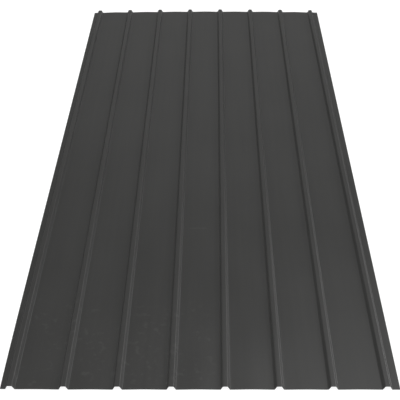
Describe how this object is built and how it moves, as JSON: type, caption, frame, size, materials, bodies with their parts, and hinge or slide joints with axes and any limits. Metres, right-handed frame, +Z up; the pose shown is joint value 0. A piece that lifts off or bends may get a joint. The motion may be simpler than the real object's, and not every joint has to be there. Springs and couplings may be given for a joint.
{
  "type": "trapezoidal corrugated metal sheet",
  "caption": "Dark grey coated steel sheet with low trapezoidal ribs along it and flat pans between them, for cladding a roof or wall, with flanges that lap the next sheet.",
  "frame": {"origin": "on the underside of the pans, in the middle of the sheet's width and length", "axes": "+X across the ribs, from the over-lap edge to the under-lap edge; +Y along the ribs; +Z up, out of the coated face"},
  "size_m": [0.91, 2, 0.0105],
  "materials": {
    "coated_steel": "satin"
  },
  "bodies": {
    "root": {"ribbed_sheet": "coated_steel"}
  },
  "joints": []
}
